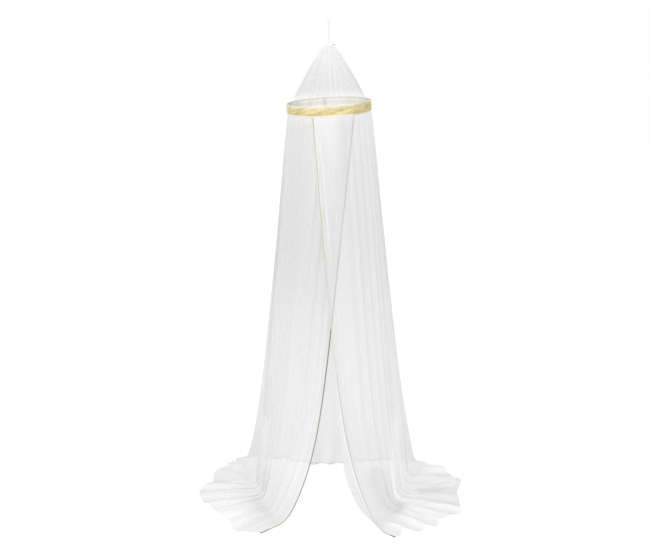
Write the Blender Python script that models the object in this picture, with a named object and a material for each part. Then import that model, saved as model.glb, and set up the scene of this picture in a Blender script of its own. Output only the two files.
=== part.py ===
"""Bed canopy: a sheer net skirt and cap on a gold-banded hoop, hung from a cord loop.

Metres, +Z up. The origin is the top of the cord loop, where a ceiling hook carries it.
The front faces -Y and the doorway between the two front edges opens there; the floor
is DROP below the origin. The skirt is one length of net: it starts at the left panel's
front edge, runs round the left side, the back and the right side, and ends at the right
panel's front edge, which overlaps the start at the hoop.
"""

import math

import bmesh
import bpy
import numpy as np
from mathutils import Euler, Matrix, Vector

# Overall sizes
DROP = 2.680                    # top of the loop to the floor
SEAM_GAP = 0.0003               # sewn pieces stay this far apart
SKIRT_TOP_GAP = 0.0006          # middle of the net below the band's lower edge
TIE_GAP = 0.0005
NET_THICKNESS = 0.0015
WELD = 1e-5                     # points of one piece that meet are joined below this
SLOPE_STEP = 1e-4               # step in t and v over which the cloth's slope is read

# Hoop, and how it hangs: the front low, the right side high
HOOP_CENTRE_Z = -0.472
HOOP_TILT_DEG = 7.6
HOOP_ROLL_DEG = 3.0
BAND_DIAMETER = 0.450
BAND_HEIGHT = 0.054
BAND_THICKNESS = 0.0022
BAND_CRINKLE = 0.0009
BAND_CRINKLE_WAVES = ((23, 2.1), (9, -1.3))      # waves round, turn of the wave from row to row
HOOP_THICKNESS = 0.0026
HOOP_HEIGHT = 0.047
HOOP_SEGMENTS = 72
BAND_SEGMENTS = 96
BAND_ROWS = 3

# Skirt at the hoop: angles from the front, positive to the right
LEFT_EDGE_DEG = 33.0            # the left panel starts right of the middle
RIGHT_EDGE_DEG = -22.0          # the right panel ends left of the middle
WRAP_DEG = 360.0 + LEFT_EDGE_DEG - RIGHT_EDGE_DEG
SKIRT_INNER_RADIUS = 0.2200     # at the left edge, under the overlap
SKIRT_OUTER_RADIUS = 0.2248     # at the right edge, over it
OVERLAP_LIFT = 0.0016           # the band stands out over the doubled net
OVERLAP_FADE = 0.12             # and comes back over this angle, in radians

# Each row is a thread of the net, from the hoop to the hem. foot is where it meets the
# floor and hem where it ends there; straight and power shape its flare, from a straight
# line to a late curve; lift moves it out to the front halfway down; fold scales the folds.
THREAD_COLUMNS = ("ring_deg", "foot_x", "foot_y", "hem_x", "hem_y",
                  "straight", "power", "lift", "fold")
THREADS = (
    (33, -0.237, -0.320, -0.363, -0.446, 0.63, 8.5, -0.010, 0.05),     # left front edge
    (25, -0.255, -0.296, -0.398, -0.436, 0.61, 9.0, -0.006, 0.30),
    (5, -0.300, -0.205, -0.484, -0.428, 0.67, 8.0, -0.006, 0.80),
    (-20, -0.345, -0.105, -0.562, -0.292, 0.78, 7.0, -0.003, 1.00),
    (-43, -0.372, -0.030, -0.682, -0.125, 0.88, 6.0, 0.000, 1.00),
    (-66, -0.392, 0.050, -0.745, 0.020, 0.97, 6.0, 0.000, 0.90),        # left side
    (-86, -0.418, 0.150, -0.700, 0.180, 0.97, 7.0, 0.000, 1.00),
    (-102, -0.462, 0.330, -0.672, 0.370, 0.92, 8.0, 0.000, 0.80),
    (-119, -0.515, 0.515, -0.615, 0.520, 0.86, 9.0, 0.000, 0.40),       # back left corner
    (-148, -0.335, 0.488, -0.358, 0.552, 0.82, 5.0, 0.000, 0.65),
    (-180, -0.020, 0.392, -0.020, 0.464, 0.85, 4.0, 0.000, 0.80),       # back
    (-212, 0.325, 0.460, 0.350, 0.530, 0.84, 5.0, 0.000, 0.65),
    (-241, 0.545, 0.452, 0.640, 0.472, 0.91, 8.0, 0.000, 0.35),         # back right corner
    (-257, 0.490, 0.300, 0.735, 0.370, 0.96, 7.0, 0.000, 0.90),
    (-274, 0.450, 0.160, 0.790, 0.190, 0.98, 6.0, 0.000, 1.00),
    (-293, 0.415, 0.050, 0.745, -0.020, 0.94, 6.0, 0.000, 0.90),        # right side
    (-315, 0.378, -0.045, 0.728, -0.215, 0.83, 6.0, 0.004, 1.00),
    (-337, 0.335, -0.135, 0.594, -0.350, 0.66, 8.0, 0.009, 0.90),
    (-357, 0.285, -0.235, 0.482, -0.430, 0.50, 12.0, 0.012, 0.50),
    (-371, 0.218, -0.320, 0.395, -0.440, 0.45, 14.0, 0.012, 0.10),      # turned back fold
    (-382, 0.255, -0.405, 0.349, -0.489, 0.54, 6.5, 0.020, 0.00),       # right front edge
)

# Skirt's folds, uneven in their spacing and their depth
FOLDS = 34
COLUMNS_PER_FOLD = 4
FOLD_AT_HOOP = 0.0006
FOLD_AT_FOOT = 0.031
FOLD_AT_HEM = 0.014
FOLD_GROWTH = 0.55
SPACING_WAVES = ((3, 0.0060, 0.4), (8, 0.0016, 1.9))     # waves round, share, phase
DEPTH_WAVES = ((5, 0.26, 0.3), (11, 0.20, 2.2))
DEPTH_MEAN = 0.68
BEND = 0.060                    # the foot's turn from the drop to the floor
BEND_LIMIT = 0.6                # most that the bend takes of the cloth lying on the floor
DROP_SHARE = 0.80               # v at the top of the bend
FLOOR_SHARE = 0.86              # v where the cloth lies on the floor
SKIRT_ROWS = (0.0, 0.06, 0.14, 0.23, 0.33, 0.43, 0.53, 0.62, 0.70, 0.76, 0.80,
              0.83, 0.86, 0.91, 0.96, 1.0)

# Gold binding along the two front edges
BINDING_WIDTH = 0.009
BINDING_THICKNESS = 0.0021
BINDING_GAP = 0.0007            # clear of the cloth's edge, also where it bends

# Cap: a gathered cone from the hoop's inner wall to the crown
CAP_BASE_GAP = 0.0010           # middle of the slanted net inside the hoop's inner wall
CAP_BASE_RADIUS = BAND_DIAMETER / 2 - BAND_THICKNESS - SEAM_GAP - HOOP_THICKNESS - BAND_CRINKLE - CAP_BASE_GAP
CAP_BASE_HEIGHT = -0.015        # where it is sewn on, from the hoop's middle
SHOULDER_RADIUS = 0.038
SHOULDER_Z = -0.1700
CAP_PLEATS = 36
CAP_PLEAT_DEPTH = 0.0036
CAP_BULGE = 0.006
CAP_RISE = (0.0, 0.22, 0.44, 0.66, 0.84, 1.0)
CROWN = (                       # radius and z
    (0.0228, -0.1560),          # neck, where the tie sits
    (0.0228, -0.1505),
    (0.0242, -0.1470),
    (0.0190, -0.1415),
    (0.0112, -0.1360),
    (0.0000, -0.1325),          # top, where the loop enters
)

# Cords
LOOP_DIAMETER = 0.003
LOOP_ROUTE = (                  # half of the loop, x and z, from the crown up to its top
    (0.0023, -0.1315), (0.0023, -0.1050), (0.0023, -0.0700), (0.0028, -0.0430),
    (0.0056, -0.0280), (0.0090, -0.0170), (0.0086, -0.0075), (0.0046, -0.0027),
    (0.0, -0.0015),
)
LOOP_STEPS = 3                  # curve points between two route points
TIE_DIAMETER = 0.002
TIE_START_DEG = -5.0
TIE_TURN_DEG = 385.0
TIE_RISE = 0.0028
TIE_TAIL = ((0.012, 0.003, -0.0010), (0.026, 0.004, -0.0040), (0.042, 0.002, -0.0082))
TIE_POINTS = 26
CORD_SIDES_RESOLUTION = 2

COLOURS = {                     # base colour, roughness, metallic, alpha
    "net": ((0.86, 0.86, 0.88), 0.75, 0.0, 0.55),
    "gold_ribbon": ((0.70, 0.55, 0.20), 0.38, 0.55, 1.0),
    "white_plastic": ((0.86, 0.86, 0.84), 0.35, 0.0, 1.0),
    "white_cord": ((0.88, 0.88, 0.86), 0.80, 0.0, 1.0),
    "grey_cord": ((0.22, 0.22, 0.23), 0.75, 0.0, 1.0),
}


def clear_scene():
    for old in list(bpy.data.objects):
        bpy.data.objects.remove(old, do_unlink=True)


def material(name):
    colour, roughness, metallic, alpha = COLOURS[name]
    made = bpy.data.materials.get(name) or bpy.data.materials.new(name)
    made.use_nodes = True
    shader = made.node_tree.nodes["Principled BSDF"]
    shader.inputs["Base Color"].default_value = (*colour, 1.0)
    shader.inputs["Roughness"].default_value = roughness
    shader.inputs["Metallic"].default_value = metallic
    shader.inputs["Alpha"].default_value = alpha
    return made


def smooth_step(x):
    x = np.clip(x, 0.0, 1.0)
    return x * x * (3.0 - 2.0 * x)


def smooth_through(knots, values, x):
    """Cubic curve through the table's values, its slopes taken from the neighbours."""
    knots, values = np.asarray(knots, float), np.asarray(values, float)
    slopes = np.gradient(values, knots)
    i = np.clip(np.searchsorted(knots, x, side="right") - 1, 0, len(knots) - 2)
    span = knots[i + 1] - knots[i]
    s = (x - knots[i]) / span
    rise = values[i + 1] - values[i]
    start, end = slopes[i] * span, slopes[i + 1] * span
    return values[i] + s * (start + s * (3 * rise - 2 * start - end + s * (start + end - 2 * rise)))


def hoop_matrix():
    """Place of the hoop: its own +Z is the ring's axis."""
    turn = Euler((math.radians(HOOP_TILT_DEG), -math.radians(HOOP_ROLL_DEG), 0.0))
    return Matrix.Translation((0.0, 0.0, HOOP_CENTRE_Z)) @ turn.to_matrix().to_4x4()


def on_hoop(angle, radius, height):
    """World points at an angle, radius and height of the ring, as an array of shape (..., 3)."""
    place = np.array(hoop_matrix())
    local = np.stack([radius * np.sin(angle), -radius * np.cos(angle),
                      np.broadcast_to(height, np.shape(angle))], axis=-1)
    return local @ place[:3, :3].T + place[:3, 3]


def thread_values(t):
    """The thread table's columns at fold places t, 0 at the left edge and 1 at the right."""
    u = t + sum(share * (np.sin(2 * np.pi * waves * t + phase) - math.sin(phase))
                for waves, share, phase in SPACING_WAVES)
    table = np.array(THREADS, float)
    knots = (LEFT_EDGE_DEG - table[:, 0]) / WRAP_DEG
    return u, {name: smooth_through(knots, table[:, k], u)
               for k, name in enumerate(THREAD_COLUMNS)}


def skirt_base(t, v):
    """Skirt without its folds: v is 0 at the hoop and 1 at the hem."""
    u, thread = thread_values(t)
    angle = np.radians(LEFT_EDGE_DEG - WRAP_DEG * u)
    radius = SKIRT_INNER_RADIUS + (SKIRT_OUTER_RADIUS - SKIRT_INNER_RADIUS) * smooth_step(u)
    top = on_hoop(angle, radius, -BAND_HEIGHT / 2 - SKIRT_TOP_GAP)
    floor_z = -DROP + NET_THICKNESS / 2
    foot = np.stack([thread["foot_x"], thread["foot_y"], np.full_like(t, floor_z)], axis=-1)
    hem = np.stack([thread["hem_x"], thread["hem_y"], np.full_like(t, floor_z)], axis=-1)

    lying = np.linalg.norm(hem - foot, axis=-1)
    bend = np.minimum(BEND, BEND_LIMIT * lying)
    drop_end = 1.0 - bend / (top[..., 2] - floor_z)

    def dropped(h):
        flare = thread["straight"] * h + (1.0 - thread["straight"]) * h ** thread["power"]
        share = np.stack([flare, flare, h], axis=-1)
        point = top + (foot - top) * share
        point[..., 1] -= thread["lift"] * np.sin(np.pi * h)
        return point

    def laid(w):
        return foot + (hem - foot) * w[..., None]

    q = np.clip((v - DROP_SHARE) / (FLOOR_SHARE - DROP_SHARE), 0.0, 1.0)[..., None]
    corner = (1 - q) ** 2 * dropped(drop_end) + 2 * q * (1 - q) * foot + q ** 2 * laid(bend / lying)
    upper = dropped(drop_end * np.minimum(v / DROP_SHARE, 1.0))
    w = bend / lying + (1.0 - bend / lying) * (v - FLOOR_SHARE) / (1.0 - FLOOR_SHARE)
    lower = laid(np.clip(w, 0.0, 1.0))
    return np.where((v < DROP_SHARE)[..., None], upper, np.where((v > FLOOR_SHARE)[..., None], lower, corner))


def unit(vectors):
    return vectors / np.linalg.norm(vectors, axis=-1, keepdims=True)


def skirt_slopes(t, v):
    """Directions round and down the unfolded cloth."""
    t_low, t_high = np.maximum(t - SLOPE_STEP, 0.0), np.minimum(t + SLOPE_STEP, 1.0)
    v_low, v_high = np.maximum(v - SLOPE_STEP, 0.0), np.minimum(v + SLOPE_STEP, 1.0)
    along = unit(skirt_base(t_high, v) - skirt_base(t_low, v))
    down = unit(skirt_base(t, v_high) - skirt_base(t, v_low))
    return along, down


def fold_height(t, v):
    """How far a fold stands out of the base surface; it is never negative, so none goes under the floor."""
    _, thread = thread_values(t)
    depth = DEPTH_MEAN + sum(share * np.sin(2 * np.pi * waves * t + phase)
                             for waves, share, phase in DEPTH_WAVES)
    hanging = FOLD_AT_HOOP + (FOLD_AT_FOOT - FOLD_AT_HOOP) * np.minimum(v / FLOOR_SHARE, 1.0) ** FOLD_GROWTH
    lying = smooth_step((v - FLOOR_SHARE) / (1.0 - FLOOR_SHARE))
    size = hanging + (FOLD_AT_HEM - hanging) * lying
    return size * depth * thread["fold"] * (0.5 - 0.5 * np.cos(2 * np.pi * FOLDS * t))


def skirt_surface(t, v):
    normal = unit(np.cross(*skirt_slopes(t, v)))
    return skirt_base(t, v) + normal * fold_height(t, v)[..., None]


def grid_object(name, columns, rows, place, material_name, thickness=0.0, closed=False):
    """A grid put in place point by point; place takes arrays of column and row numbers."""
    mesh = bmesh.new()
    bmesh.ops.create_grid(mesh, x_segments=columns, y_segments=rows, size=0.5)
    mesh.verts.ensure_lookup_table()
    flat = np.array([vertex.co[:2] for vertex in mesh.verts])
    column = np.rint((flat[:, 0] + 0.5) * columns).astype(int)
    row = np.rint((flat[:, 1] + 0.5) * rows).astype(int)
    for vertex, point in zip(mesh.verts, place(column, row)):
        vertex.co = Vector(point)
    if closed:
        bmesh.ops.remove_doubles(mesh, verts=mesh.verts, dist=WELD)
    data = bpy.data.meshes.new(name)
    mesh.to_mesh(data)
    mesh.free()
    data.shade_smooth()
    made = bpy.data.objects.new(name, data)
    bpy.context.collection.objects.link(made)
    made.data.materials.append(material(material_name))
    if thickness:
        wall = made.modifiers.new("Thickness", "SOLIDIFY")
        wall.thickness = thickness
        wall.offset = 0.0
    return made


def build_skirt():
    rows = np.array(SKIRT_ROWS)

    def place(column, row):
        return skirt_surface(column / (FOLDS * COLUMNS_PER_FOLD), rows[row])

    return grid_object("skirt", FOLDS * COLUMNS_PER_FOLD, len(rows) - 1, place, "net", NET_THICKNESS)


def build_binding(name, edge_t, outward):
    """Tape beyond a front edge of the skirt, in the cloth's own surface."""
    rows = np.array(SKIRT_ROWS)

    def place(column, row):
        t, v = np.full(len(row), edge_t), rows[row]
        along, down = skirt_slopes(t, v)
        normal = unit(np.cross(along, down))
        across = np.cross(down, normal) * outward
        reach = BINDING_GAP + BINDING_WIDTH * (column if outward > 0 else 1 - column)
        rise = (BINDING_THICKNESS - NET_THICKNESS) / 2
        return skirt_base(t, v) + across * reach[:, None] + normal * rise

    return grid_object(name, 1, len(rows) - 1, place, "gold_ribbon", BINDING_THICKNESS)


def build_hoop(parent):
    radius = BAND_DIAMETER / 2 - BAND_THICKNESS - SEAM_GAP - HOOP_THICKNESS / 2 - BAND_CRINKLE

    def place(column, row):
        angle = -2 * np.pi * column / HOOP_SEGMENTS
        height = HOOP_HEIGHT * (0.5 - row)
        return np.stack([radius * np.sin(angle), -radius * np.cos(angle), height], axis=-1)

    made = grid_object("hoop", HOOP_SEGMENTS, 1, place, "white_plastic", HOOP_THICKNESS, closed=True)
    made.parent = parent


def build_band(parent):
    """Crinkled ribbon round the hoop, standing out a little over the doubled net."""
    middle = math.radians((LEFT_EDGE_DEG + RIGHT_EDGE_DEG) / 2)
    half = math.radians((LEFT_EDGE_DEG - RIGHT_EDGE_DEG) / 2)

    def place(column, row):
        angle = -2 * np.pi * column / BAND_SEGMENTS
        away = np.abs((angle - middle + np.pi) % (2 * np.pi) - np.pi)
        lift = OVERLAP_LIFT * smooth_step((half + OVERLAP_FADE - away) / OVERLAP_FADE)
        crinkle = BAND_CRINKLE * (row > 0) * (row < BAND_ROWS)
        for waves, turn in BAND_CRINKLE_WAVES:
            crinkle = crinkle * np.sin(waves * angle + turn * row)
        radius = (BAND_DIAMETER - BAND_THICKNESS) / 2 + lift + crinkle
        height = BAND_HEIGHT * (0.5 - row / BAND_ROWS)
        return np.stack([radius * np.sin(angle), -radius * np.cos(angle), height], axis=-1)

    made = grid_object("band", BAND_SEGMENTS, BAND_ROWS, place, "gold_ribbon", BAND_THICKNESS, closed=True)
    made.parent = parent


def build_cap():
    columns = 2 * CAP_PLEATS
    cone_rows = len(CAP_RISE)
    crown = np.array(CROWN)

    def place(column, row):
        angle = 2 * np.pi * column / columns
        base = on_hoop(angle, CAP_BASE_RADIUS, CAP_BASE_HEIGHT)
        rise = np.array(CAP_RISE)[np.minimum(row, cone_rows - 1)]
        arch = np.sin(np.pi * rise)
        pleat = CAP_PLEAT_DEPTH * arch * (column % 2)
        shoulder = np.stack([SHOULDER_RADIUS * np.sin(angle), -SHOULDER_RADIUS * np.cos(angle),
                             np.full(len(angle), SHOULDER_Z)], axis=-1)
        cone = base + (shoulder - base) * rise[:, None]
        outward = np.stack([np.sin(angle), -np.cos(angle), np.ones(len(angle))], axis=-1) / math.sqrt(2.0)
        cone += outward * (pleat + CAP_BULGE * arch)[:, None]
        top = crown[np.clip(row - cone_rows, 0, len(crown) - 1)]
        radius, z = top[:, 0], top[:, 1]
        crowned = np.stack([radius * np.sin(angle), -radius * np.cos(angle), z], axis=-1)
        return np.where((row < cone_rows)[:, None], cone, crowned)

    return grid_object("cap", columns, cone_rows + len(crown) - 1, place, "net", NET_THICKNESS, closed=True)


def cord_object(name, points, diameter, material_name):
    curve = bpy.data.curves.new(name, "CURVE")
    curve.dimensions = "3D"
    curve.bevel_depth = diameter / 2
    curve.bevel_resolution = CORD_SIDES_RESOLUTION
    curve.use_fill_caps = True
    spline = curve.splines.new("POLY")
    spline.points.add(len(points) - 1)
    for target, point in zip(spline.points, points):
        target.co = (*point, 1.0)
    made = bpy.data.objects.new(name, curve)
    bpy.context.collection.objects.link(made)
    made.data.materials.append(material(material_name))
    return made


def build_loop():
    half = [(-x, 0.0, z) for x, z in LOOP_ROUTE]
    route = np.array(half + [(-x, y, z) for x, y, z in reversed(half[:-1])])
    knots = np.arange(len(route), dtype=float)
    steps = np.linspace(0.0, knots[-1], (len(route) - 1) * LOOP_STEPS + 1)
    points = np.stack([smooth_through(knots, route[:, axis], steps) for axis in range(3)], axis=-1)
    return cord_object("hanging_loop", points, LOOP_DIAMETER, "white_cord")


def build_tie():
    """One turn of cord round the neck, its end standing out to the right."""
    neck_radius = CROWN[0][0]
    neck_z = (CROWN[0][1] + CROWN[1][1]) / 2
    radius = neck_radius + NET_THICKNESS / 2 + TIE_GAP + TIE_DIAMETER / 2
    share = np.linspace(0.0, 1.0, TIE_POINTS)
    angle = np.radians(TIE_START_DEG + TIE_TURN_DEG * share)
    turn = np.stack([radius * np.sin(angle), -radius * np.cos(angle),
                     neck_z + TIE_RISE * (share - 0.5)], axis=-1)
    tail = turn[-1] + np.array(TIE_TAIL)
    return cord_object("crown_tie", np.vstack([turn, tail]), TIE_DIAMETER, "grey_cord")


def main():
    clear_scene()
    ring = bpy.data.objects.new("hoop_place", None)
    bpy.context.collection.objects.link(ring)
    ring.matrix_world = hoop_matrix()
    build_hoop(ring)
    build_band(ring)
    build_cap()
    build_tie()
    build_loop()
    build_skirt()
    build_binding("left_binding", 0.0, -1)
    build_binding("right_binding", 1.0, 1)


main()
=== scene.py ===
"""Bed canopy, dressed: sheer net skirt and cap, gold ribbon, hoop strip and cords, in a pale studio.

Metres, +Z up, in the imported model's frame: the origin is the top of the cord loop, the front
faces -Y and the floor lies DROP below the origin.
"""

import math
from functools import partial

import bmesh
import bpy
import numpy as np
from bpy.props import FloatProperty, FloatVectorProperty, IntProperty, PointerProperty
from mathutils import Euler, Matrix


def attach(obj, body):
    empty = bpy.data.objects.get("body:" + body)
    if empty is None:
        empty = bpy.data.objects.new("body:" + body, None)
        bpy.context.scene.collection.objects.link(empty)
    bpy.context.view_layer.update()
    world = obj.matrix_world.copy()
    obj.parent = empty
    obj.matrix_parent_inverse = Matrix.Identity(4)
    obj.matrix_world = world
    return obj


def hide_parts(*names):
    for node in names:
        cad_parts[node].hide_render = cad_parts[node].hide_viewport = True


bl_info = {
    "name": "Bed canopy",
    "version": (1, 0, 0),
    "blender": (4, 5, 0),
    "location": "3D View > Sidebar > Canopy",
    "description": "Models a hooped bed canopy of sheer net with gold ribbon round its packed solids",
    "category": "Object",
}

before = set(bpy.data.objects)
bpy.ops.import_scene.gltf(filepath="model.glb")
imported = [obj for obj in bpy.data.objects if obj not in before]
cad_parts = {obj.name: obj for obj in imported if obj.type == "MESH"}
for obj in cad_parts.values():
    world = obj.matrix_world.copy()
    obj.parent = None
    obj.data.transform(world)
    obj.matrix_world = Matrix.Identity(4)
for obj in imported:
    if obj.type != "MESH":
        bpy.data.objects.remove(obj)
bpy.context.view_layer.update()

# Hoop and cloth, as the solids have them
DROP = 2.680
SEAM_GAP = 0.0003
SKIRT_TOP_GAP = 0.0006
TIE_GAP = 0.0005
NET_THICKNESS = 0.0015
WELD = 1e-5
SLOPE_STEP = 1e-4
HOOP_CENTRE_Z = -0.472
HOOP_TILT_DEG = 7.6
HOOP_ROLL_DEG = 3.0
BAND_DIAMETER = 0.450
BAND_HEIGHT = 0.054
BAND_THICKNESS = 0.0022
HOOP_THICKNESS = 0.0026
HOOP_HEIGHT = 0.047
BAND_CRINKLE = 0.0009
LEFT_EDGE_DEG = 33.0
RIGHT_EDGE_DEG = -22.0
WRAP_DEG = 360.0 + LEFT_EDGE_DEG - RIGHT_EDGE_DEG
SKIRT_INNER_RADIUS = 0.2200
SKIRT_OUTER_RADIUS = 0.2248
OVERLAP_LIFT = 0.0016
OVERLAP_FADE = 0.12
THREAD_COLUMNS = ("ring_deg", "foot_x", "foot_y", "hem_x", "hem_y",
                  "straight", "power", "lift", "fold")
THREADS = (
    (33, -0.237, -0.320, -0.363, -0.446, 0.63, 8.5, -0.010, 0.05),  # left front edge
    (25, -0.255, -0.296, -0.398, -0.436, 0.61, 9.0, -0.006, 0.30),
    (5, -0.300, -0.205, -0.484, -0.428, 0.67, 8.0, -0.006, 0.80),
    (-20, -0.345, -0.105, -0.562, -0.292, 0.78, 7.0, -0.003, 1.00),
    (-43, -0.372, -0.030, -0.682, -0.125, 0.88, 6.0, 0.000, 1.00),
    (-66, -0.392, 0.050, -0.745, 0.020, 0.97, 6.0, 0.000, 0.90),  # left side
    (-86, -0.418, 0.150, -0.700, 0.180, 0.97, 7.0, 0.000, 1.00),
    (-102, -0.462, 0.330, -0.672, 0.370, 0.92, 8.0, 0.000, 0.80),
    (-119, -0.515, 0.515, -0.615, 0.520, 0.86, 9.0, 0.000, 0.40),  # back left corner
    (-148, -0.335, 0.488, -0.358, 0.552, 0.82, 5.0, 0.000, 0.65),
    (-180, -0.020, 0.392, -0.020, 0.464, 0.85, 4.0, 0.000, 0.80),  # back
    (-212, 0.325, 0.460, 0.350, 0.530, 0.84, 5.0, 0.000, 0.65),
    (-241, 0.545, 0.452, 0.640, 0.472, 0.91, 8.0, 0.000, 0.35),  # back right corner
    (-257, 0.490, 0.300, 0.735, 0.370, 0.96, 7.0, 0.000, 0.90),
    (-274, 0.450, 0.160, 0.790, 0.190, 0.98, 6.0, 0.000, 1.00),
    (-293, 0.415, 0.050, 0.745, -0.020, 0.94, 6.0, 0.000, 0.90),  # right side
    (-315, 0.378, -0.045, 0.728, -0.215, 0.83, 6.0, 0.004, 1.00),
    (-337, 0.335, -0.135, 0.594, -0.350, 0.66, 8.0, 0.009, 0.90),
    (-357, 0.285, -0.235, 0.482, -0.430, 0.50, 12.0, 0.012, 0.50),
    (-371, 0.218, -0.320, 0.395, -0.440, 0.45, 14.0, 0.012, 0.10),  # turned back fold
    (-382, 0.255, -0.405, 0.349, -0.489, 0.54, 6.5, 0.020, 0.00),  # right front edge
)
FOLDS = 34
FOLD_AT_HOOP = 0.0006
FOLD_AT_FOOT = 0.031
FOLD_AT_HEM = 0.014
FOLD_GROWTH = 0.55
SPACING_WAVES = ((3, 0.0060, 0.4), (8, 0.0016, 1.9))
DEPTH_WAVES = ((5, 0.26, 0.3), (11, 0.20, 2.2))
DEPTH_MEAN = 0.68
BEND = 0.060
BEND_LIMIT = 0.6
DROP_SHARE = 0.80
FLOOR_SHARE = 0.86
BINDING_WIDTH = 0.009
BINDING_THICKNESS = 0.0021
BINDING_GAP = 0.0007
CAP_BASE_GAP = 0.0010
CAP_BASE_RADIUS = BAND_DIAMETER / 2 - BAND_THICKNESS - SEAM_GAP - HOOP_THICKNESS - BAND_CRINKLE - CAP_BASE_GAP
CAP_BASE_HEIGHT = -0.015
SHOULDER_RADIUS = 0.038
SHOULDER_Z = -0.1700
CAP_PLEATS = 36
CAP_PLEAT_DEPTH = 0.0036
CAP_BULGE = 0.006
CROWN = (
    (0.0228, -0.1560),
    (0.0228, -0.1505),
    (0.0242, -0.1470),
    (0.0190, -0.1415),
    (0.0112, -0.1360),
    (0.0000, -0.1325),
)
LOOP_DIAMETER = 0.003
LOOP_ROUTE = (
    (0.0023, -0.1315), (0.0023, -0.1050), (0.0023, -0.0700), (0.0028, -0.0430),
    (0.0056, -0.0280), (0.0090, -0.0170), (0.0086, -0.0075), (0.0046, -0.0027),
    (0.0, -0.0015),
)
TIE_DIAMETER = 0.002
TIE_START_DEG = -5.0
TIE_TURN_DEG = 385.0
TIE_RISE = 0.0028
TIE_TAIL = ((0.012, 0.003, -0.0010), (0.026, 0.004, -0.0040), (0.042, 0.002, -0.0082))

# Finer cloth than the solids have
SKIRT_COLUMNS = 760
SKIRT_DROP_ROWS = 60
SKIRT_BEND_ROWS = 16
SKIRT_FLOOR_ROWS = 50
FLOOR_CLEAR = 0.0004  # lowest cloth above the floor
# Gathers that run down the cloth: number round, number down, height at the hoop, halfway, at the foot
GATHER_BANDS = (
    (46, 2, 0.0002, 0.0017, 0.0020),
    (104, 2, 0.0003, 0.0008, 0.0009),
    (236, 3, 0.0004, 0.0004, 0.0004),
)
# Crumples of the cloth on the floor: number round, number out to the hem, height
CRUMPLE_BANDS = ((58, 2.0, 0.024), (120, 4.0, 0.013), (260, 9.0, 0.005))
# Painted light and shade down the cloth: v, and the share from the net's painted-shade colour to its
# painted-light colour
PAINTED_LIGHT_DOWN = ((0.00, 0.54), (0.10, 0.45), (0.24, 0.38), (0.50, 0.53), (0.70, 0.46), (0.79, 0.32),
                  (0.86, 0.34), (0.91, 0.54), (1.00, 0.66))
# Folds given one by one, each along a line: ring angle and v at its start, then at its end,
# half width in degrees, height in millimetres, and the painted light on the net, in per cent, painted shade
# below zero
CREASES = (
    (-375, 0, -368, 0.3, 1.2, 4, 50),  # beside the right front edge, under the band
    (-374, 0.64, -375, 0.86, 4, 5, 14),  # turned back fold
    (-308, 0.66, -323, 0.92, 2.8, 9, 50),  # long fold on the right wing
    (-340, 0.71, -335, 0.9, 11, -3, -100),  # painted shade in the trough beside it
    # Painted light where the sides are bunched, near the floor
    (-288, 0.62, -296, 0.86, 17, 0, 46), (-72, 0.62, -58, 0.86, 18, 0, 30),
    (-14, 0.87, -22, 1.3, 18, 0, 30),  # the left wing's front, in the light
    # Streaks beside the left front edge
    (29, 0.56, 26, 0.8, 1.3, 3, 20), (20, 0.58, 15, 0.82, 1.8, 3, 16), (11, 0.62, 3, 0.84, 2.2, 3, 12),
    # Left wing, from its back to its front
    (-108, 0.86, -109, 1.2, 2.4, 8, -20), (-97, 0.87, -98, 1.2, 2.8, 10, 16),
    (-88, 0.88, -86, 1.2, 2, -3, -28), (-76, 0.86, -80, 1.2, 3, 11, 18), (-66, 0.86, -70, 1.2, 2, -3, -26),
    (-57, 0.84, -61, 1.2, 3, 11, 18), (-49, 0.84, -52, 1.2, 2.2, -3, -22), (-39, 0.84, -45, 1.2, 3, 11, 16),
    (-31, 0.84, -38, 1.2, 2, -3, -18), (-22, 0.84, -28, 1.2, 3, 10, 16),
    (-13, 0.84, -20, 1.2, 2.2, -3, -16), (-4, 0.84, -9, 1.2, 3.2, 9, 15), (6, 0.84, 1, 1.2, 2, -2, -14),
    # Above the hem at the back
    (-172, 0.7, -179, 0.9, 2.6, 2, -20), (-190, 0.7, -182, 0.9, 2.6, 2, -20),
    (-181, 0.74, -180, 0.92, 2, 6, 16),
    # Right wing, from its back to its front
    (-250, 0.86, -248, 1.2, 2.2, 5, -34), (-258, 0.86, -259, 1.2, 2.8, 8, 20),
    (-266, 0.87, -267, 1.2, 2, -4, -34), (-276, 0.86, -274, 1.2, 3, 16, 28),
    (-288, 0.86, -284, 0.97, 2.4, -6, -62), (-297, 0.85, -292, 1.2, 3, 14, 12),
    (-305, 0.86, -301, 1.2, 2, -4, -44), (-313, 0.84, -309, 1.2, 2.8, 14, 18),
    (-319, 0.86, -317, 1.2, 1.8, -4, -30),
    (-288, 0.86, -286, 1.1, 18, 0, -44),  # the right wing's middle, in the shade
    # Right wing, the rest of its front
    (-333, 0.9, -330, 1.2, 2, 10, 24), (-341, 0.89, -337, 1.2, 2, -3, -26),
    (-350, 0.84, -346, 1.2, 3, 12, 26), (-358, 0.86, -354, 1.2, 2, -3, -24),
    (-366, 0.84, -363, 1.2, 2.6, 10, 24),
    # Short lines of painted shade in creases on the right wing
    (-293, 0.88, -289, 0.95, 1, -1, -60), (-260, 0.89, -268, 0.99, 1, -1, -45),
    (-270, 0.95, -282, 1.04, 1.4, -1, -55), (-282, 0.9, -276, 0.98, 0.9, -1, -40),
    (-317, 0.9, -300, 0.98, 1, -1, -40), (-303, 0.94, -313, 1.04, 1, -1, -40),
    (-100, 0.9, -92, 1.1, 14, 0, -26),  # the left wing's back, in the shade
)
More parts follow.
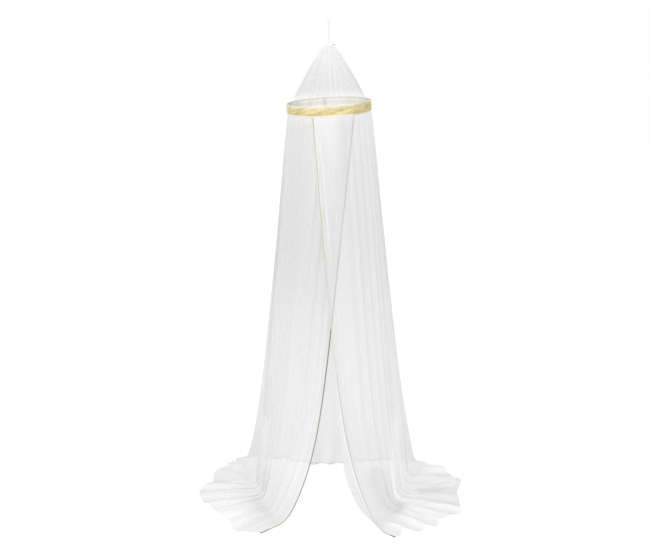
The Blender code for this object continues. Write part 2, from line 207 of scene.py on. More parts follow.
# Stepped lobes of the hem: ring angle, and how many millimetres the hem lies out beyond its end
HEM_LOBES = (
    (33, 0), (30, 2), (27, 4), (23, 12), (20, 0), (14, 1), (5, 8), (-6, 8), (-12, -6), (-18, -14), (-21, 2),
    (-34, 4), (-40, -6), (-43, 14), (-50, 5), (-58, 4), (-66, 7), (-72, 14), (-78, 12), (-84, 18),
    (-87, -8), (-91, 6), (-95, 14), (-104, 4), (-106, -34), (-111, -14), (-115, -28), (-119, -40),
    (-130, 0), (-232, 0), (-241, -14), (-248, -52), (-251, 3), (-256, 4), (-262, -30), (-265, -18),
    (-268, -28), (-270, 2), (-276, 3), (-281, -6), (-285, -10), (-290, -6), (-295, 4), (-300, 3),
    (-306, -2), (-313, 1), (-317, 0), (-320, -18), (-324, -27), (-329, -32), (-333, -29), (-337, -4),
    (-341, 4), (-346, -32), (-350, -12), (-357, 0), (-360, 12), (-364, -4), (-368, -26), (-373, -3),
    (-376, 6), (-380, 8), (-382, 0),
)
LOBE_START = 0.89  # v from which the hem's lobes lie out
EDGE_FADE_DEG = 5.0  # gathers reach their full height this far in from the front edges
# Each use of the noise has its own seed; gathers and crumples count up from theirs
SEEDS = {"drift": 3, "shift": 7, "flatten": 8, "gathers": 11, "crumples": 31, "cap": 61,
         "rising": 81, "fine": 82, "wavy": 83, "falling": 84}
GATHER_DRIFT = 0.004  # how far the gathers wander from the hoop to the foot, in t
CRUMPLE_CUT = 0.45  # how far up a crumple's noise its ridge starts
CRUMPLE_FLATTER = 0.45  # how much lower the crumples are at the hem
CREASE_ENDS = 4.0  # a fold rises and ends over its length divided by this
FOLD_SHIFT = 0.003  # how far the folds wander on the floor, in t
FOLD_FLATTENED = (0.40, 0.30)  # how much lower they lie there: on average, and its spread

# Places on the skirt: starts and lengths of ramps over ring angle and v, middles and widths of bells
FRONT_RAMPS = ((-28.0, 14.0), (-342.0, -14.0))
UPPER_RAMP = (0.0, 0.35)
LOW_RAMP = (0.35, 0.35)
RIGHT_RAMP = (-200.0, -60.0)
BACK_MIDDLE = -180.0
BACK_WIDTHS = (38.0, 26.0)  # half width at the hoop, and how much narrower it is at the foot
BACK_NARROWS = (0.45, 0.3)
BEHIND = (-180.0, 58.0)
LEFT_BELLS = ((-50.0, 55.0), (0.22, 0.16))
HEM_RAMP = (0.975, 0.006)
HEADING = 0.006  # how soon the sewn heading fades out, in v
TOP_WIDTH = 0.08
EDGE_WIDTH_DEG = 1.3
# How much painted light the net gets in each place, painted shade where it is below zero, and how much more
# of the view it covers
SKIRT_PAINTED_LIGHT = {"right": 0.10, "upper_front": 0.22, "low_back": 0.20, "back": -0.04, "left": -0.14,
               "heading": 0.20, "edge": 0.45, "top_front": 0.14}
SKIRT_COVER = {"all": 0.24, "heading": 0.30, "hem": 0.12, "low_front": 0.26, "floor": 0.20,
               "back": 0.18, "edge": 0.10}
BUNCHED_PAINTED_LIGHT = (0.12, 0.09)  # painted light that the gathers' ridges add: at the hoop, and how much less lower down
BUNCHED_FADE = (0.1, 0.3)
BUNCHED_COVER = 0.06
WRINKLE_PAINTED_LIGHT = 16.0  # painted light for each metre of a wrinkle's height over their mean, painted shade below it
WRINKLE_MEAN = 0.0045
FOLD_COVER = 0.6  # cover that a fold with painted light near the hoop adds
FOLD_COVER_RAMP = (0.5, -0.2)
BEHIND_CLEARED = 1.25  # how much thinner the net shows beside the back's middle, low down
BEHIND_RAMP = (0.64, 0.28)

# Cap: grid, and its gathers: number round, number up, height
CAP_COLUMNS = 504
CAP_ROWS = 56
CAP_GATHERS = ((130, 2.2, 0.0016), (252, 4.0, 0.0009))
CAP_CONE_SHARE = 0.80  # part of the cloth that is the cone; the rest is the crown
CAP_CLEAR_RAMP = (0.16, 0.16)  # up the cone, where the net stops being clear
CROWN_NECK = 0.25  # run of the crown's cloth below its first ring
CROWN_RUFFLE = 0.05
# Cap's cover: everywhere, on the cone, towards its top, on streaks and on the crown; then its
# painted light: everywhere, where it is clear, towards the top, on streaks and on the crown
CAP_COVER = (0.06, 0.38, 0.32, 0.11, 0.30)
CAP_PAINTED_LIGHT = (0.22, 0.40, 0.70, 0.34, 0.30)

# Ribbon: grid, how far its crinkles slant along it, and how many lie one under another
RIBBON_GRID = (540, 20)
RIBBON_SLANT = 30.0
RIBBON_ROWS = 5.5
RIBBON_MIX = (0.66, 0.34, 0.20)  # rising, falling and fine crinkles
RIBBON_RIMS = 6.0  # its flat rims are its width divided by this
RIBBON_THICKNESS = 0.0008
RIM_DIP = 0.0012  # how far its rims lie in
RIM_WAVE = 0.0007  # how far its rims wave up and down
LAP_LIFT = 0.0012  # how far its lapped end stands out
LAP_SAG = 0.0016  # how far the lapped end hangs down
LAP_DEG = 62.0
LAP_STARTS = 0.010  # in radians
LAP_ENDS = 20.0  # the lap fades over one turn divided by this
# Where painted shade makes the ribbon deeper: angle and half width left of the front, and down it near its
# lower rim
RIBBON_SHADED_SIDE = (2 * math.pi - 0.95, 0.42)
RIBBON_LOW_SHADE = (0.80, 0.13)
RIBBON_SHADE = {"all": 0.28, "lap": 0.50, "deep": 0.32, "crinkle": -0.76, "low": 0.30}
# Its cream rims, and a wide painted light that pales its top: share, place down the ribbon and half width
CREAM_RIMS_AND_TOP_LIGHT = ((0.65, 0.0, 0.07), (0.30, 0.0, 0.35), (1.00, 1.0, 0.14))

# Hoop strip: roundness of its corners, and where its ends lap at the back
STRIP_CORNER = 0.28
STRIP_GRID = (32, 180)
STRIP_LAP_GRID = (32, 24)
STRIP_LAP_DEG = (184.0, 207.0)
STRIP_LAP_GAP = 0.0001
# Darker places round the hoop, dark lines at the lap's ends and painted shade on its inside at the left and
# at the right: angle from the front, half width in degrees, share
HOOP_JOINTS_AND_SHADE = ((185.5, 1.6, 0.45), (208.0, 1.6, 0.30), (250.0, 26.0, 0.75), (112.0, 18.0, 0.45))
HOOP_TOP_SHADE = (0.7, 0.80, 0.15)  # share, start and length of the ramp up the strip
HOOP_LINE_SHADE = (0.35, -0.05, 0.10)  # share, middle and half width

# Edgings: places down the front edge, then how dark the painted shade on the left and the right tape's shaded
# side is there
EDGING_SHADE = ((0.0, 0.25, 0.45, 0.60, 0.84, 0.90, 0.95, 1.0),
                (0.95, 1.00, 0.95, 0.80, 0.78, 0.66, 0.90, 1.00),
                (0.52, 0.54, 0.56, 0.76, 0.80, 0.86, 1.00, 1.00))
TAPE_GRID = (14, 340)
EDGING_PALER = 0.4  # share of that painted shade on a tape's paler side, away from its shaded right side
EDGING_END_RAMP = (0.90, 0.05)  # its lower end has painted shade right across

# Studio: the camera at the photograph's angle, and how far the sun's light is spread
CAMERA_PLACE = (-0.021, -4.5, -0.55)
CAMERA_TILT_DEG = 79.5
CAMERA_LENS = 46.0
FLOOR_REACH = 30.0
SUN_SPREAD_DEG = 50.0

# Cords: strands, length of one twist, points round them; then points along them
LOOP_LAY = {"strands": 3, "twist_length": 0.009, "around": 24}
TIE_LAY = {"strands": 2, "twist_length": 0.006, "around": 18}
LOOP_POINTS = 330
TIE_POINTS = 220
TIE_DARK_END = 0.895  # middle of the tie's dark end, as a share of its length


def smooth_step(x):
    x = np.clip(x, 0.0, 1.0)
    return x * x * (3.0 - 2.0 * x)


def ramp(x, start, length):
    """Rises from 0 to 1 over the length after the start; a negative length runs the other way."""
    return smooth_step((x - start) / length)


def bell(x, middle, width):
    return np.exp(-((x - middle) / width) ** 2)


def added(weights, places):
    """Sum of the weights, each one times its place's share."""
    return sum(weight * places[name] for name, weight in weights.items())


def run_along(points):
    """Distance along a line at each of its points."""
    return np.concatenate([[0.0], np.cumsum(np.linalg.norm(np.diff(points, axis=0), axis=1))])


def smooth_through(knots, values, x):
    """Cubic curve through the table's values, its slopes taken from the neighbours."""
    knots, values = np.asarray(knots, float), np.asarray(values, float)
    slopes = np.gradient(values, knots)
    i = np.clip(np.searchsorted(knots, x, side="right") - 1, 0, len(knots) - 2)
    span = knots[i + 1] - knots[i]
    s = (x - knots[i]) / span
    rise = values[i + 1] - values[i]
    start, end = slopes[i] * span, slopes[i + 1] * span
    return values[i] + s * (start + s * (3 * rise - 2 * start - end + s * (start + end - 2 * rise)))


def unit(vectors):
    return vectors / np.linalg.norm(vectors, axis=-1, keepdims=True)


def soft_noise(x, y, cells_x, cells_y, seed, closed=False):
    """Smooth noise from -1 to 1 on x and y from 0 to 1; closed joins x = 1 to x = 0."""
    rows = int(math.ceil(cells_y)) + 2
    grid = np.random.default_rng(seed).uniform(-1.0, 1.0, (int(cells_x) + 1, rows))
    if closed:
        grid[-1] = grid[0]
    gx = np.clip(x, 0.0, 1.0) * cells_x
    gy = np.clip(y, 0.0, 1.0) * cells_y
    i = np.minimum(gx.astype(int), int(cells_x) - 1)
    j = gy.astype(int)
    a, b = smooth_step(gx - i), smooth_step(gy - j)
    return ((grid[i, j] * (1 - a) + grid[i + 1, j] * a) * (1 - b)
            + (grid[i, j + 1] * (1 - a) + grid[i + 1, j + 1] * a) * b)


def hoop_matrix():
    turn = Euler((math.radians(HOOP_TILT_DEG), -math.radians(HOOP_ROLL_DEG), 0.0))
    return Matrix.Translation((0.0, 0.0, HOOP_CENTRE_Z)) @ turn.to_matrix().to_4x4()


def on_hoop(angle, radius, height):
    """World points at an angle from the front, radius and height of the ring."""
    place = np.array(hoop_matrix())
    angle = np.asarray(angle, float)
    local = np.stack(np.broadcast_arrays(radius * np.sin(angle), -radius * np.cos(angle), height), axis=-1)
    return local @ place[:3, :3].T + place[:3, 3]


# The skirt's drape

def thread_values(t):
    """The thread table's columns at fold places t, 0 at the left edge and 1 at the right."""
    u = t + sum(share * (np.sin(2 * np.pi * waves * t + phase) - math.sin(phase))
                for waves, share, phase in SPACING_WAVES)
    table = np.array(THREADS, float)
    knots = (LEFT_EDGE_DEG - table[:, 0]) / WRAP_DEG
    return u, {name: smooth_through(knots, table[:, k], u)
               for k, name in enumerate(THREAD_COLUMNS)}


def skirt_base(t, v):
    """Skirt without its folds: v is 0 at the hoop and 1 at the hem."""
    u, thread = thread_values(t)
    angle = np.radians(LEFT_EDGE_DEG - WRAP_DEG * u)
    radius = SKIRT_INNER_RADIUS + (SKIRT_OUTER_RADIUS - SKIRT_INNER_RADIUS) * smooth_step(u)
    top = on_hoop(angle, radius, -BAND_HEIGHT / 2 - SKIRT_TOP_GAP)
    floor_z = -DROP + NET_THICKNESS / 2
    foot = np.stack([thread["foot_x"], thread["foot_y"], np.full_like(t, floor_z)], axis=-1)
    hem = np.stack([thread["hem_x"], thread["hem_y"], np.full_like(t, floor_z)], axis=-1)

    lying = np.linalg.norm(hem - foot, axis=-1)
    bend = np.minimum(BEND, BEND_LIMIT * lying)
    drop_end = 1.0 - bend / (top[..., 2] - floor_z)

    def dropped(h):
        flare = thread["straight"] * h + (1.0 - thread["straight"]) * h ** thread["power"]
        share = np.stack([flare, flare, h], axis=-1)
        point = top + (foot - top) * share
        point[..., 1] -= thread["lift"] * np.sin(np.pi * h)
        return point

    def laid(w):
        return foot + (hem - foot) * w[..., None]

    q = np.clip((v - DROP_SHARE) / (FLOOR_SHARE - DROP_SHARE), 0.0, 1.0)[..., None]
    corner = (1 - q) ** 2 * dropped(drop_end) + 2 * q * (1 - q) * foot + q ** 2 * laid(bend / lying)
    upper = dropped(drop_end * np.minimum(v / DROP_SHARE, 1.0))
    w = bend / lying + (1.0 - bend / lying) * (v - FLOOR_SHARE) / (1.0 - FLOOR_SHARE)
    lower = laid(np.clip(w, 0.0, 1.0))
    return np.where((v < DROP_SHARE)[..., None], upper, np.where((v > FLOOR_SHARE)[..., None], lower, corner))


def skirt_slopes(t, v):
    t_low, t_high = np.maximum(t - SLOPE_STEP, 0.0), np.minimum(t + SLOPE_STEP, 1.0)
    v_low, v_high = np.maximum(v - SLOPE_STEP, 0.0), np.minimum(v + SLOPE_STEP, 1.0)
    along = unit(skirt_base(t_high, v) - skirt_base(t_low, v))
    down = unit(skirt_base(t, v_high) - skirt_base(t, v_low))
    return along, down


def fold_height(t, v):
    _, thread = thread_values(t)
    depth = DEPTH_MEAN + sum(share * np.sin(2 * np.pi * waves * t + phase)
                             for waves, share, phase in DEPTH_WAVES)
    hanging = FOLD_AT_HOOP + (FOLD_AT_FOOT - FOLD_AT_HOOP) * np.minimum(v / FLOOR_SHARE, 1.0) ** FOLD_GROWTH
    lying = smooth_step((v - FLOOR_SHARE) / (1.0 - FLOOR_SHARE))
    size = hanging + (FOLD_AT_HEM - hanging) * lying
    return size * depth * thread["fold"] * (0.5 - 0.5 * np.cos(2 * np.pi * FOLDS * t))


def edge_fade(t):
    """0 at the two front edges and 1 a few degrees in."""
    return smooth_step(np.minimum(t, 1.0 - t) * WRAP_DEG / EDGE_FADE_DEG)


def gathers(t, v):
    """Fine gathers that run down the hanging cloth: their height, and how bunched the net is."""
    down = np.minimum(v / DROP_SHARE, 1.0)
    drift = t + GATHER_DRIFT * soft_noise(t, down, 12, 2, SEEDS["drift"]) * down
    height, bunched = np.zeros_like(t), np.zeros_like(t)
    for seed, (round_it, along_it, at_hoop, halfway, at_foot) in enumerate(GATHER_BANDS):
        streak = soft_noise(drift, down, round_it, along_it, SEEDS["gathers"] + seed)
        size = smooth_through((0.0, 0.5, 1.0), (at_hoop, halfway, at_foot), down)
        height = height + size * streak
        bunched = bunched + streak / len(GATHER_BANDS)
    return height, bunched


def crumples(t, v):
    """Wrinkles of the cloth that lies on the floor; they only rise."""
    out = np.clip((v - DROP_SHARE) / (1.0 - DROP_SHARE), 0.0, 1.0)
    height = np.zeros_like(t)
    for seed, (round_it, out_it, size) in enumerate(CRUMPLE_BANDS):
        ridge = 1.0 - np.abs(soft_noise(t, out, round_it, out_it, SEEDS["crumples"] + seed))
        height = height + size * np.clip(ridge - CRUMPLE_CUT, 0.0, 1.0) ** 2
    return height * smooth_step(out * 3.0) * (1.0 - CRUMPLE_FLATTER * smooth_step(out * 4.0 - 3.0))


def creases(ring, v):
    """The listed folds: their height, and the painted light and shade on them."""
    height, light = np.zeros_like(ring), np.zeros_like(ring)
    for ring_from, v_from, ring_to, v_to, width, rise_mm, lighter_percent in CREASES:
        along = (v - v_from) / (v_to - v_from)
        middle = ring_from + (ring_to - ring_from) * np.clip(along, 0.0, 1.0)
        strength = bell(ring, middle, width)
        strength = strength * smooth_step(along * CREASE_ENDS) * smooth_step((1.0 - along) * CREASE_ENDS)
        height = height + rise_mm / 1000 * strength
        light = light + lighter_percent / 100 * strength
    return height, light


def skirt_places(t, ring, v, on_floor):
    """Shares from 0 to 1 of the places where the skirt's net looks different."""
    front = sum(ramp(ring, *place) for place in FRONT_RAMPS)
    low = ramp(v, *LOW_RAMP)
    behind = bell(ring, *BEHIND)
    back = bell(ring, BACK_MIDDLE, BACK_WIDTHS[0] - BACK_WIDTHS[1] * ramp(v, *BACK_NARROWS))
    return {
        "all": 1.0,
        "floor": on_floor,
        "right": ramp(ring, *RIGHT_RAMP),
        "upper_front": front * (1.0 - 0.6 * ramp(v, *UPPER_RAMP)),
        "top_front": front * bell(v, 0.0, TOP_WIDTH),
        "low_front": low * front,
        "back": back,
        "low_back": low * back,
        "beside_back": (behind - back).clip(0.0) * ramp(v, *BEHIND_RAMP),
        "left": bell(ring, *LEFT_BELLS[0]) * bell(v, *LEFT_BELLS[1]),
        "heading": np.exp(-v / HEADING),
        "hem": ramp(v, *HEM_RAMP) * (1.0 - behind),
        "edge": bell(np.minimum(t, 1.0 - t) * WRAP_DEG, 0.0, EDGE_WIDTH_DEG),
    }


def skirt_surface(t, v):
    """The dressed skirt's points, with how much its net covers and its painted light and shade there."""
    normal = unit(np.cross(*skirt_slopes(t, v)))
    u, thread = thread_values(t)
    ring = LEFT_EDGE_DEG - WRAP_DEG * u
    fine, bunched = gathers(t, v)
    fade = edge_fade(t)
    on_floor = ramp(v, DROP_SHARE, FLOOR_SHARE - DROP_SHARE)
    wrinkles = thread["fold"] * crumples(t, v) * fade
    creased, crease_painted_light = creases(ring, v)
    folds = fold_height(t + FOLD_SHIFT * on_floor * soft_noise(t, v, 17, 6, SEEDS["shift"]), v)
    flattened, spread = FOLD_FLATTENED
    folds = folds * (1.0 - on_floor * (flattened + spread * soft_noise(t, v, 23, 5, SEEDS["flatten"])))
    height = folds + fine * fade * (1.0 - on_floor) + wrinkles * (0.3 + 0.7 * on_floor) + creased * fade
    point = skirt_base(t, v) + normal * height[..., None]

    lobes = np.array(sorted(HEM_LOBES))
    reach = np.interp(ring, lobes[:, 0], lobes[:, 1] / 1000) * ramp(v, LOBE_START, 1.0 - LOBE_START)
    outward = unit(np.stack([thread["hem_x"] - thread["foot_x"], thread["hem_y"] - thread["foot_y"],
                             np.zeros_like(t)], axis=-1))
    point = point + outward * reach[..., None]
    point[..., 2] = np.maximum(point[..., 2], -DROP + FLOOR_CLEAR)

    places = skirt_places(t, ring, v, on_floor)
    # Painted light and shade of the net: down the cloth, by place, on the folds, on the gathers' ridges and
    # on the wrinkles
    table = np.array(PAINTED_LIGHT_DOWN)
    light = smooth_through(table[:, 0], table[:, 1], v) + added(SKIRT_PAINTED_LIGHT, places) + crease_painted_light
    streaked = BUNCHED_PAINTED_LIGHT[0] - BUNCHED_PAINTED_LIGHT[1] * ramp(v, *BUNCHED_FADE)
    light = light + streaked * bunched * (1.0 - on_floor)
    light = light + WRINKLE_PAINTED_LIGHT * on_floor * (wrinkles - WRINKLE_MEAN)
    cover = added(SKIRT_COVER, places) + BUNCHED_COVER * bunched
    cover = cover + FOLD_COVER * crease_painted_light.clip(0.0) * ramp(v, *FOLD_COVER_RAMP)
    cover = cover * (1.0 - BEHIND_CLEARED * places["beside_back"])
    return point, {"cover": np.clip(cover, 0.0, 1.0), "light": np.clip(light, 0.0, 1.0)}


# The other pieces' surfaces

def cap_surface(across, down):
    """The cap's points from the hoop up to the crown, with its net's cover and painted light and shade."""
    crown = np.array(CROWN)
    crown_run = np.linspace(0.0, 1.0, len(crown))
    angle = 2 * np.pi * across
    rise = np.clip(down / CAP_CONE_SHARE, 0.0, 1.0)
    base = on_hoop(angle, CAP_BASE_RADIUS, CAP_BASE_HEIGHT)
    shoulder = np.stack([SHOULDER_RADIUS * np.sin(angle), -SHOULDER_RADIUS * np.cos(angle),
                         np.full(len(angle), SHOULDER_Z)], axis=-1)
    arch = np.sin(np.pi * rise)
    pleat = CAP_PLEAT_DEPTH * arch * (0.5 - 0.5 * np.cos(2 * np.pi * CAP_PLEATS * across))
    fine, streaks = 0.0, 0.0
    for seed, (round_it, along_it, size) in enumerate(CAP_GATHERS):
        streak = soft_noise(across, down, round_it, along_it, SEEDS["cap"] + seed, closed=True)
        fine = fine + size * streak * smooth_step(rise * 8.0)
        streaks = streaks + streak / len(CAP_GATHERS)
    outward = np.stack([np.sin(angle), -np.cos(angle), np.ones(len(angle))], axis=-1) / math.sqrt(2.0)
    cone = base + (shoulder - base) * rise[:, None]
    cone += outward * (pleat + CAP_BULGE * arch + fine)[:, None]

    up = np.clip((down - CAP_CONE_SHARE) / (1.0 - CAP_CONE_SHARE), 0.0, 1.0)
    top_run = np.concatenate([[0.0], (crown_run + CROWN_NECK) / (1.0 + CROWN_NECK)])
    top_radius = np.interp(up, top_run, np.concatenate([[SHOULDER_RADIUS], crown[:, 0]]))
    top_z = np.interp(up, top_run, np.concatenate([[SHOULDER_Z], crown[:, 1]]))
    ruffled = top_radius * (1.0 + CROWN_RUFFLE * streaks * (top_radius > 0.001))
    crowned = np.stack([ruffled * np.sin(angle), -ruffled * np.cos(angle), top_z], axis=-1)
    point = np.where((down < CAP_CONE_SHARE)[:, None], cone, crowned)

    clear = ramp(rise, *CAP_CLEAR_RAMP)
    all_over, cone_cover, top, streaked, crown_cover = CAP_COVER
    cover = cone_cover + top * rise ** 1.6 + streaked * streaks * (0.3 + rise)
    cover = all_over + clear * cover + crown_cover * up
    # Painted light up the cap: where it is clear at the hoop, towards the top, on the streaks and on the
    # crown
    all_over, sewn, top, streaked, crown_painted_light = CAP_PAINTED_LIGHT
    light = all_over + top * rise ** 1.1 + streaked * streaks * (0.45 + 0.55 * rise)
    light = light + crown_painted_light * up + sewn * (1.0 - clear)
    return point, {"cover": np.clip(cover, 0.0, 1.0), "light": np.clip(light, 0.0, 1.0)}


def band_surface(across, down, crinkled):
    """The ribbon's points round the hoop, with its painted shade, its cream rims and the painted light that
    pales its top.
    """
    lap = math.radians(LEFT_EDGE_DEG)
    middle = math.radians((LEFT_EDGE_DEG + RIGHT_EDGE_DEG) / 2)
    half = math.radians((LEFT_EDGE_DEG - RIGHT_EDGE_DEG) / 2)
    # The ribbon starts at the lap, goes round by the right and ends under its own start
    angle = lap + 2 * np.pi * across
    away = np.abs((angle - middle + np.pi) % (2 * np.pi) - np.pi)
    lift = OVERLAP_LIFT * smooth_step((half + OVERLAP_FADE - away) / OVERLAP_FADE)
    body = smooth_step(down * RIBBON_RIMS) * smooth_step((1.0 - down) * RIBBON_RIMS)
    run, drop = across * RIBBON_SLANT, down * RIBBON_ROWS
    rows = RIBBON_SLANT + RIBBON_ROWS
    bands = (soft_noise(across, (drop + run) / rows, 24, rows, SEEDS["rising"]),
             soft_noise(across, (drop + RIBBON_SLANT - run) / rows, 24, rows, SEEDS["falling"]),
             soft_noise(across, down, 150, 5, SEEDS["fine"], closed=True))
    crinkle = sum(share * band for share, band in zip(RIBBON_MIX, bands))
    on_lap = smooth_step(across * 2 * np.pi / LAP_STARTS)
    on_lap = on_lap * smooth_step((math.radians(LAP_DEG) / (2 * np.pi) - across) * LAP_ENDS)
    radius = (BAND_DIAMETER - BAND_THICKNESS) / 2 + lift + crinkled * crinkle * body
    radius = radius - RIM_DIP * (1 - body) + LAP_LIFT * on_lap
    wavy = RIM_WAVE * soft_noise(across, down * 0.0, 40, 1, SEEDS["wavy"], closed=True)
    height = BAND_HEIGHT * (0.5 - down) + wavy - LAP_SAG * on_lap
    # Painted shade on the ribbon: on its lap, left of the front, in the crinkles' hollows and above its lower
    # rim; painted light on the crinkles' crests
    shade = added(RIBBON_SHADE, {
        "all": 1.0, "lap": on_lap, "crinkle": crinkle, "low": bell(down, *RIBBON_LOW_SHADE),
        "deep": bell(angle % (2 * np.pi), *RIBBON_SHADED_SIDE)})
    # Cream rims at top and bottom, and a wide painted light that pales the top; dimmer on the lap
    rim = sum(share * bell(down, at, wide) for share, at, wide in CREAM_RIMS_AND_TOP_LIGHT) * (1.0 - 0.5 * on_lap)
    return on_hoop(angle, radius, height), {"shade": np.clip(shade, 0.0, 1.0), "rim": rim}


def strip_surface(around, along, start, turn, shift):
    """The hoop strip's points from a start angle over a turn, with its dark joint lines and painted shade."""
    radius = BAND_DIAMETER / 2 - BAND_THICKNESS - SEAM_GAP - HOOP_THICKNESS / 2 - BAND_CRINKLE
    top_share, *top_ramp = HOOP_TOP_SHADE
    line_share, *line_bell = HOOP_LINE_SHADE
    angle = start - turn * along
    profile = 2 * np.pi * around
    across = np.sign(np.cos(profile)) * np.abs(np.cos(profile)) ** STRIP_CORNER
    up = np.sign(np.sin(profile)) * np.abs(np.sin(profile)) ** STRIP_CORNER
    r = radius + shift + across * HOOP_THICKNESS / 4
    turned = np.degrees(angle) % 360.0
    # Dark lines at the lap's ends, and painted shade on the inside at the left and at the right
    joints_and_shade = sum(dark * bell(turned, at, wide) for at, wide, dark in HOOP_JOINTS_AND_SHADE)
    # Painted shadow along the top, and a darker line just under the middle
    rim = top_share * ramp(up, *top_ramp) + line_share * bell(up, *line_bell)
    return on_hoop(angle, r, up * HOOP_HEIGHT / 2), {"shade": np.clip(joints_and_shade + rim, 0.0, 1.0)}


def tape_surface(around, along, edge_t, outward):
    """An edging's points down its front edge, with its painted shade; outward is -1 at the left."""
    t = np.full(len(along), edge_t)
    slope_along, down = skirt_slopes(t, along)
    normal = unit(np.cross(slope_along, down))
    across = np.cross(down, normal) * outward
    edge, _ = skirt_surface(t, along)
    profile = 2 * np.pi * around
    reach = BINDING_GAP + BINDING_WIDTH * (0.5 + 0.5 * np.cos(profile))
    bulge = BINDING_THICKNESS / 2 * np.sign(np.sin(profile)) * np.abs(np.sin(profile)) ** 0.8
    rise = (BINDING_THICKNESS - NET_THICKNESS) / 2
    point = edge + across * reach[:, None] + normal * (rise + bulge)[:, None]
    # Painted shade on the tape's right side, and right across its lower end
    shaded_side = EDGING_PALER + (1.0 - EDGING_PALER) * smooth_step(
        0.5 - 1.5 * outward * np.cos(profile))
    share = smooth_through(EDGING_SHADE[0], EDGING_SHADE[1 + int(edge_t)], along)
    dark = share * np.maximum(shaded_side, ramp(along, *EDGING_END_RAMP))
    return point, {"shade": np.clip(dark, 0.0, 1.0)}


# Mesh and object helpers

def finish_object(name, mesh, material):
    data = bpy.data.meshes.new(name)
    mesh.to_mesh(data)
    mesh.free()
    data.shade_smooth()
    made = bpy.data.objects.new(name, data)
    bpy.context.collection.objects.link(made)
    data.materials.append(material)
    return made


def moved_grid(columns, rows, place, closed=False, capped=False, values=None):
    """A bmesh grid with its UV map, each point put in place; values give named numbers per point."""
    mesh = bmesh.new()
    mesh.loops.layers.uv.new("cloth")
    bmesh.ops.create_grid(mesh, x_segments=columns, y_segments=rows, size=0.5, calc_uvs=True)
    mesh.verts.ensure_lookup_table()
    flat = np.array([vertex.co[:2] for vertex in mesh.verts])
    across = np.rint((flat[:, 0] + 0.5) * columns) / columns
    down = np.rint((flat[:, 1] + 0.5) * rows) / rows
    layers = {key: mesh.verts.layers.float.new(key) for key in (values or ())}
    points, numbers = place(across, down)
    for vertex, point in zip(mesh.verts, points.tolist()):
        vertex.co = point
    for key, layer in layers.items():
        for vertex, number in zip(mesh.verts, numbers[key].tolist()):
            vertex[layer] = number
    if closed:
        bmesh.ops.remove_doubles(mesh, verts=mesh.verts, dist=WELD)
    if capped:
        bmesh.ops.holes_fill(mesh, edges=[edge for edge in mesh.edges if edge.is_boundary], sides=0)
        bmesh.ops.recalc_face_normals(mesh, faces=mesh.faces)
    return mesh


def line_frames(points):
    """Directions along a line and two across it that turn as little as they can."""
    ahead = unit(np.gradient(points, axis=0))
    side = np.zeros_like(points)
    first = np.cross(ahead[0], (0.0, 1.0, 0.0))
    side[0] = first / np.linalg.norm(first)
    for i in range(1, len(points)):
        carried = side[i - 1] - ahead[i] * (side[i - 1] @ ahead[i])
        side[i] = carried / np.linalg.norm(carried)
    return ahead, side, np.cross(ahead, side)


def twisted_cord(name, points, diameter, material, strands, twist_length, around):
    """A laid cord: strands that wind round a centreline, closed at both ends."""
    points = np.asarray(points, float)
    _, side, across = line_frames(points)
    run = run_along(points)

    def place(around_share, along_share):
        i = np.rint(along_share * (len(points) - 1)).astype(int)
        angle = 2 * np.pi * around_share
        wound = strands * (angle - 2 * np.pi * run[i] / twist_length) / 2
        radius = diameter / 2 * (0.80 + 0.20 * np.abs(np.cos(wound)) ** 0.7)
        around_it = side[i] * np.cos(angle)[:, None] + across[i] * np.sin(angle)[:, None]
        return points[i] + around_it * radius[:, None], {}

    mesh = moved_grid(around, len(points) - 1, place, closed=True, capped=True)
    return finish_object(name, mesh, material)


def evenly(points, count):
    """The same line with its points evenly spaced."""
    points = np.asarray(points, float)
    run = run_along(points)
    even = np.linspace(0.0, run[-1], count)
    return np.stack([np.interp(even, run, points[:, k]) for k in range(3)], axis=-1), float(run[-1])


# Shader helpers

def new_material(name):
    made = bpy.data.materials.new(name)
    made.use_nodes = True
    return made, made.node_tree, made.node_tree.nodes["Principled BSDF"]


def feed(tree, node, inputs):
    """Links a node's inputs to the sockets given for them, or sets them to the values."""
    for socket, value in dict(inputs).items():
        if isinstance(value, bpy.types.NodeSocket):
            tree.links.new(value, node.inputs[socket])
        else:
            node.inputs[socket].default_value = value
    return node


def add_node(tree, kind, inputs=(), **settings):
    made = tree.nodes.new(kind)
    for key, value in settings.items():
        setattr(made, key, value)
    return feed(tree, made, inputs)


def maths(tree, operation, *values, clamp=False):
    return add_node(tree, "ShaderNodeMath", dict(enumerate(values)), operation=operation,
                    use_clamp=clamp).outputs[0]


def mapped(tree, value, low, high, to_low, to_high):
    return add_node(tree, "ShaderNodeMapRange", {"Value": value, "From Min": low, "From Max": high,
                                                 "To Min": to_low, "To Max": to_high}).outputs["Result"]


def shaded(tree, value, to_low, to_high):
    """A value from 0 to 1, mapped to another span."""
    return mapped(tree, value, 0.0, 1.0, to_low, to_high)


def mixed_colour(tree, share, first, second):
    ends = [end if isinstance(end, bpy.types.NodeSocket) else (*end, 1.0) for end in (first, second)]
    return add_node(tree, "ShaderNodeMix", {0: share, 6: ends[0], 7: ends[1]}, data_type="RGBA").outputs[2]


def attribute(tree, name):
    return add_node(tree, "ShaderNodeAttribute", attribute_name=name).outputs["Fac"]


def bumped(tree, height, strength, distance, **settings):
    return add_node(tree, "ShaderNodeBump", {"Strength": strength, "Distance": distance, "Height": height},
                    **settings).outputs[0]


def cloth_uv(tree):
    return add_node(tree, "ShaderNodeUVMap", uv_map="cloth").outputs[0]


def darker(colour, share):
    return tuple(share * value for value in colour)


